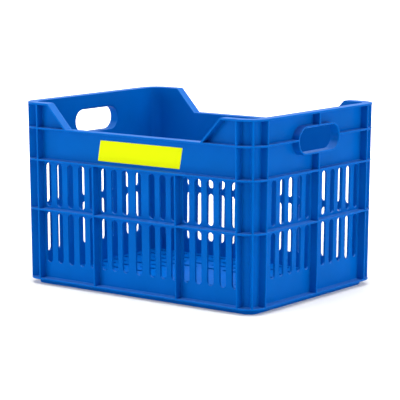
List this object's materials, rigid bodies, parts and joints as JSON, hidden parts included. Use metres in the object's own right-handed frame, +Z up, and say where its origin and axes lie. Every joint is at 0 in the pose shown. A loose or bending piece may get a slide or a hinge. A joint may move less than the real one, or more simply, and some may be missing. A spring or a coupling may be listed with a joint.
{
  "type": "stackable crate",
  "caption": "Open stackable carrying crate in ribbed blue plastic, with slotted walls, lowered long edges, end hand-holds and a bare yellow label.",
  "frame": {"origin": "centre of the footprint, on the surface the crate stands on", "axes": "+X along the crate's length, +Y towards its back, +Z up"},
  "size_m": [0.4, 0.298, 0.255],
  "materials": {
    "crate_plastic": "injection moulded polyolefin, satin",
    "label_film": "smooth film, left bare"
  },
  "bodies": {
    "root": {"back_left_corner": "crate_plastic", "back_left_shoulder": "crate_plastic", "back_right_corner": "crate_plastic", "back_right_shoulder": "crate_plastic", "back_uprights": "crate_plastic", "back_wall": "crate_plastic", "base_flange": "crate_plastic", "corner_uprights": "crate_plastic", "floor_grid": "crate_plastic", "front_left_corner": "crate_plastic", "front_left_shoulder": "crate_plastic", "front_right_corner": "crate_plastic", "front_right_shoulder": "crate_plastic", "front_uprights": "crate_plastic", "front_wall": "crate_plastic", "label": "label_film", "left_handle_collar": "crate_plastic", "left_handle_panel": "crate_plastic", "left_rim": "crate_plastic", "left_uprights": "crate_plastic", "left_wall": "crate_plastic", "mid_rib": "crate_plastic", "right_handle_collar": "crate_plastic", "right_handle_panel": "crate_plastic", "right_rim": "crate_plastic", "right_uprights": "crate_plastic", "right_wall": "crate_plastic", "shoulder_rib": "crate_plastic", "upper_rib": "crate_plastic"}
  },
  "joints": []
}
